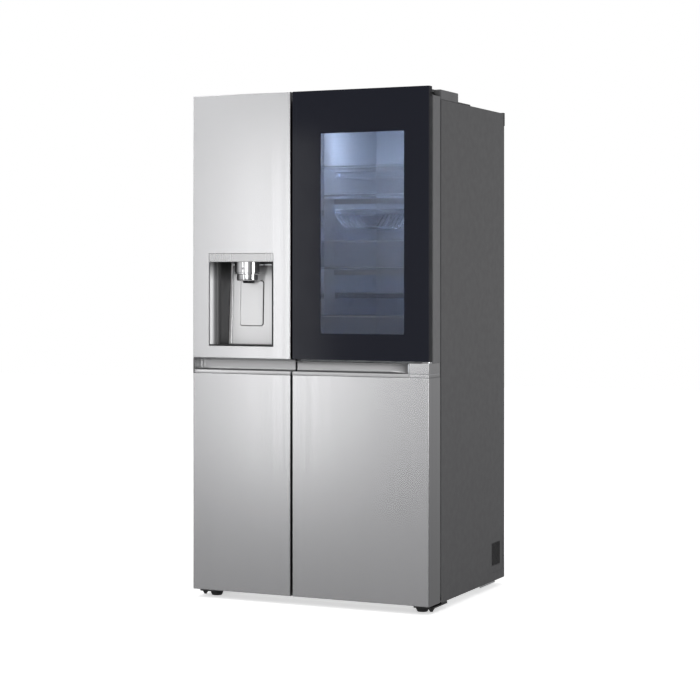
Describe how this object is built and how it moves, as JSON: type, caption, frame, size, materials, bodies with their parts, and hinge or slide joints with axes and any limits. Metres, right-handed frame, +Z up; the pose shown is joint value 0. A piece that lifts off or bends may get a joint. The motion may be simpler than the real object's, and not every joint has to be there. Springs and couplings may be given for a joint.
{
  "type": "side by side refrigerator",
  "caption": "Tall side-by-side refrigerator: a steel freezer door with an ice and water dispenser, and a fridge door with a dark glass window door over a bay of bins.",
  "frame": {"origin": "centre of the footprint, on the floor", "axes": "+X to the right seen from the front, the doors face -Y, +Z up"},
  "size_m": [0.913, 0.735, 1.79],
  "materials": {
    "case_steel": "satin",
    "brushed_steel": "satin",
    "zinc_steel": "satin",
    "chrome": "polished",
    "black_plastic": "matte",
    "dark_plastic": "satin",
    "grey_plastic": "satin",
    "white_liner": "gloss",
    "clear_plastic": "gloss",
    "shelf_glass": "gloss",
    "seal_rubber": "matte",
    "foam": "matte",
    "black_glass": "polished",
    "black_paint": "satin"
  },
  "bodies": {
    "cabinet": {"outer_case": "case_steel", "cabinet_foam": "foam", "rear_panel": "zinc_steel", "machine_cover": "black_plastic", "base_frame": "zinc_steel", "freezer_liner": "white_liner", "fridge_liner": "white_liner", "fridge_shelf_upper": "shelf_glass", "fridge_shelf_middle": "shelf_glass", "fridge_shelf_lower": "shelf_glass", "crisper_cover": "shelf_glass", "freezer_shelf": "shelf_glass", "wine_rack": "chrome", "left_top_hinge": "zinc_steel", "right_top_hinge": "zinc_steel", "left_hinge_cover": "dark_plastic", "right_hinge_cover": "dark_plastic", "left_bottom_hinge": "black_paint", "right_bottom_hinge": "black_paint", "side_vent_grille": "black_plastic", "compressor": "black_paint", "condenser": "zinc_steel", "rear_top_cap": "black_plastic", "power_inlet": "black_plastic"},
    "left_foot": {"left_front_foot": "black_plastic"},
    "right_foot": {"right_front_foot": "black_plastic"},
    "left_roller": {"left_rear_roller": "black_plastic"},
    "right_roller": {"right_rear_roller": "black_plastic"},
    "fan": {"condenser_fan_rotor": "black_plastic"},
    "crisper_lower": {"crisper_drawer_lower": "clear_plastic"},
    "crisper_upper": {"crisper_drawer_upper": "clear_plastic"},
    "frozen_lower": {"freezer_drawer_lower": "clear_plastic"},
    "frozen_upper": {"freezer_drawer_upper": "clear_plastic"},
    "freezer_door": {"freezer_door_skin": "brushed_steel", "freezer_door_liner": "white_liner", "freezer_door_gasket": "seal_rubber", "freezer_grip_channel": "brushed_steel", "dispenser_housing": "grey_plastic", "dispenser_head": "chrome", "dispenser_nozzle": "black_plastic", "drip_tray": "black_plastic", "ice_maker": "white_liner", "freezer_door_bin": "clear_plastic"},
    "paddle": {"dispenser_paddle": "grey_plastic"},
    "button_left": {"dispenser_button_left": "chrome"},
    "button_middle": {"dispenser_button_middle": "chrome"},
    "button_right": {"dispenser_button_right": "chrome"},
    "fridge_door": {"fridge_door_skin": "brushed_steel", "fridge_door_liner": "white_liner", "fridge_door_gasket": "seal_rubber", "fridge_grip_channel": "brushed_steel", "bay_bin_upper": "clear_plastic", "bay_bin_middle": "clear_plastic", "bay_bin_lower": "clear_plastic", "fridge_door_bin": "clear_plastic", "outer_door_lower_hinge": "chrome", "outer_door_upper_hinge": "zinc_steel"},
    "outer_door": {"outer_door_glass": "black_glass", "outer_door_frame": "black_plastic", "outer_door_gasket": "seal_rubber"}
  },
  "joints": [
    {"name": "freezer_door_hinge", "type": "hinge", "parent": "cabinet", "child": "freezer_door", "pos_m": [-0.4345, -0.314, 0.03], "axis": [0, 0, -1], "range_deg": [0, 115]},
    {"name": "fridge_door_hinge", "type": "hinge", "parent": "cabinet", "child": "fridge_door", "pos_m": [0.4345, -0.314, 0.03], "axis": [0, 0, 1], "range_deg": [0, 115]},
    {"name": "outer_door_hinge", "type": "hinge", "parent": "fridge_door", "child": "outer_door", "pos_m": [0.4465, -0.3425, 0.86], "axis": [0, 0, 1], "range_deg": [0, 95]},
    {"name": "dispenser_paddle_pivot", "type": "hinge", "parent": "freezer_door", "child": "paddle", "pos_m": [-0.261, -0.2835, 1.13], "axis": [1, 0, 0], "range_deg": [0, 6], "stiffness_Nm_per_rad": 0.4},
    {"name": "crisper_lower_slide", "type": "slide", "parent": "cabinet", "child": "crisper_lower", "axis": [0, -1, 0], "range_m": [0, 0.21]},
    {"name": "crisper_upper_slide", "type": "slide", "parent": "cabinet", "child": "crisper_upper", "axis": [0, -1, 0], "range_m": [0, 0.21]},
    {"name": "frozen_lower_slide", "type": "slide", "parent": "cabinet", "child": "frozen_lower", "axis": [0, -1, 0], "range_m": [0, 0.21]},
    {"name": "frozen_upper_slide", "type": "slide", "parent": "cabinet", "child": "frozen_upper", "axis": [0, -1, 0], "range_m": [0, 0.21]},
    {"name": "left_foot_thread", "type": "hinge", "parent": "cabinet", "child": "left_foot", "pos_m": [-0.401, -0.2915, 0.01], "axis": [0, 0, 1], "continuous": true},
    {"name": "right_foot_thread", "type": "hinge", "parent": "cabinet", "child": "right_foot", "pos_m": [0.401, -0.2915, 0.01], "axis": [0, 0, 1], "continuous": true},
    {"name": "left_roller_axle", "type": "hinge", "parent": "cabinet", "child": "left_roller", "pos_m": [-0.381, 0.3, 0.022], "axis": [1, 0, 0], "continuous": true},
    {"name": "right_roller_axle", "type": "hinge", "parent": "cabinet", "child": "right_roller", "pos_m": [0.381, 0.3, 0.022], "axis": [1, 0, 0], "continuous": true},
    {"name": "condenser_fan_shaft", "type": "hinge", "parent": "cabinet", "child": "fan", "pos_m": [0.174, 0.25, 0.108], "axis": [1, 0, 0], "continuous": true},
    {"name": "dispenser_button_left_press", "type": "slide", "parent": "freezer_door", "child": "button_left", "axis": [0, 1, 0], "range_m": [0, 0.0012], "stiffness_N_per_m": 400},
    {"name": "dispenser_button_middle_press", "type": "slide", "parent": "freezer_door", "child": "button_middle", "axis": [0, 1, 0], "range_m": [0, 0.0012], "stiffness_N_per_m": 400},
    {"name": "dispenser_button_right_press", "type": "slide", "parent": "freezer_door", "child": "button_right", "axis": [0, 1, 0], "range_m": [0, 0.0012], "stiffness_N_per_m": 400}
  ],
  "couplings": [
    {"joint": "crisper_lower_slide", "follows": "fridge_door_hinge", "m_per_rad": 0.1},
    {"joint": "crisper_upper_slide", "follows": "fridge_door_hinge", "m_per_rad": 0.1},
    {"joint": "frozen_lower_slide", "follows": "freezer_door_hinge", "m_per_rad": 0.1},
    {"joint": "frozen_upper_slide", "follows": "freezer_door_hinge", "m_per_rad": 0.1}
  ]
}
